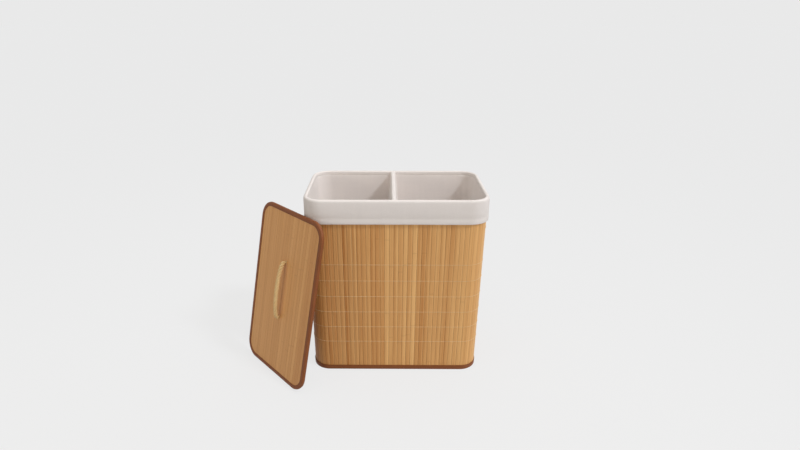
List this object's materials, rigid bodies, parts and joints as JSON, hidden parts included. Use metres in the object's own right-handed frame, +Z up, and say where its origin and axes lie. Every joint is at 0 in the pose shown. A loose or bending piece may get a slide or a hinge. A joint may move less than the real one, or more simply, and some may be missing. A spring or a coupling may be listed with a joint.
{
  "type": "laundry hamper with two bins",
  "caption": "Free-standing laundry hamper: bamboo slat walls, a divided cloth liner folded over the rim, rope loops at both ends, and a slatted lid with a rope handle that leans on it.",
  "frame": {"origin": "middle of the hamper's base, on the floor", "axes": "+Z up, -Y to the front, +X along the long side to the right; the lid leans on the front left corner"},
  "size_m": [0.8552, 0.496, 0.63],
  "materials": {
    "bamboo": "lacquered bamboo slats, vertical grain",
    "lid_bamboo": "lacquered bamboo slats on the lid",
    "binding": "brown imitation leather edge binding",
    "liner": "off-white cotton blend",
    "backing": "beige non-woven backing",
    "board": "plain fibreboard and bamboo stays",
    "wire": "zinc plated wire and tube",
    "moulding": "black moulded plastic",
    "rope": "twisted natural fibre rope",
    "tape": "hook and loop tape"
  },
  "bodies": {
    "hamper": {"front_slats": "bamboo", "front_right_slats": "bamboo", "right_slats": "bamboo", "back_right_slats": "bamboo", "back_slats": "bamboo", "back_left_slats": "bamboo", "left_slats": "bamboo", "front_left_slats": "bamboo", "backing_cloth": "backing", "rim_binding": "binding", "base_binding": "binding", "front_hook_tape": "tape", "back_hook_tape": "tape", "base_board": "board", "base_cloth": "backing", "front_right_stay": "board", "front_right_stay_shoe": "moulding", "back_right_stay": "board", "back_right_stay_shoe": "moulding", "back_left_stay": "board", "back_left_stay_shoe": "moulding", "front_left_stay": "board", "front_left_stay_shoe": "moulding", "front_rim_wire": "wire", "back_rim_wire": "wire", "left_rim_ferrule": "wire", "right_rim_ferrule": "wire", "left_handle_front_knot": "rope", "left_handle_front_washer": "moulding", "left_handle_rear_knot": "rope", "left_handle_rear_washer": "moulding", "right_handle_front_knot": "rope", "right_handle_front_washer": "moulding", "right_handle_rear_knot": "rope", "right_handle_rear_washer": "moulding"},
    "liner": {"liner_cuff": "liner", "left_bag_wall": "liner", "left_bag_floor": "liner", "right_bag_wall": "liner", "right_bag_floor": "liner", "divider_hem": "liner", "divider_rod": "wire", "front_loop_tape": "tape", "back_loop_tape": "tape"},
    "left_handle": {"left_handle_rope": "rope"},
    "right_handle": {"right_handle_rope": "rope"},
    "lid": {"lid_binding": "binding", "lid_lining": "backing", "lid_board": "board", "lid_slats": "lid_bamboo", "lid_lower_knot": "rope", "lid_lower_washer": "moulding", "lid_upper_knot": "rope", "lid_upper_washer": "moulding"},
    "lid_handle": {"lid_handle_rope": "rope"}
  },
  "joints": [
    {"name": "liner_lift", "type": "slide", "parent": "hamper", "child": "liner", "axis": [0, 0, 1], "range_m": [0, 0.63]},
    {"name": "lid_lift", "type": "slide", "parent": "hamper", "child": "lid", "axis": [0, 0, 1], "range_m": [0, 0.65]},
    {"name": "lid_handle_swing", "type": "hinge", "parent": "lid", "child": "lid_handle", "pos_m": [-0.38775, -0.15262, 0.30383], "axis": [0.1591, 0.1417, 0.977], "range_deg": [-85, 85]},
    {"name": "left_handle_swing", "type": "hinge", "parent": "hamper", "child": "left_handle", "pos_m": [-0.29704, 0, 0.51995], "axis": [0, 1, 0], "range_deg": [-15, 150]},
    {"name": "right_handle_swing", "type": "hinge", "parent": "hamper", "child": "right_handle", "pos_m": [0.29704, 0, 0.51995], "axis": [0, -1, 0], "range_deg": [-15, 150]}
  ]
}
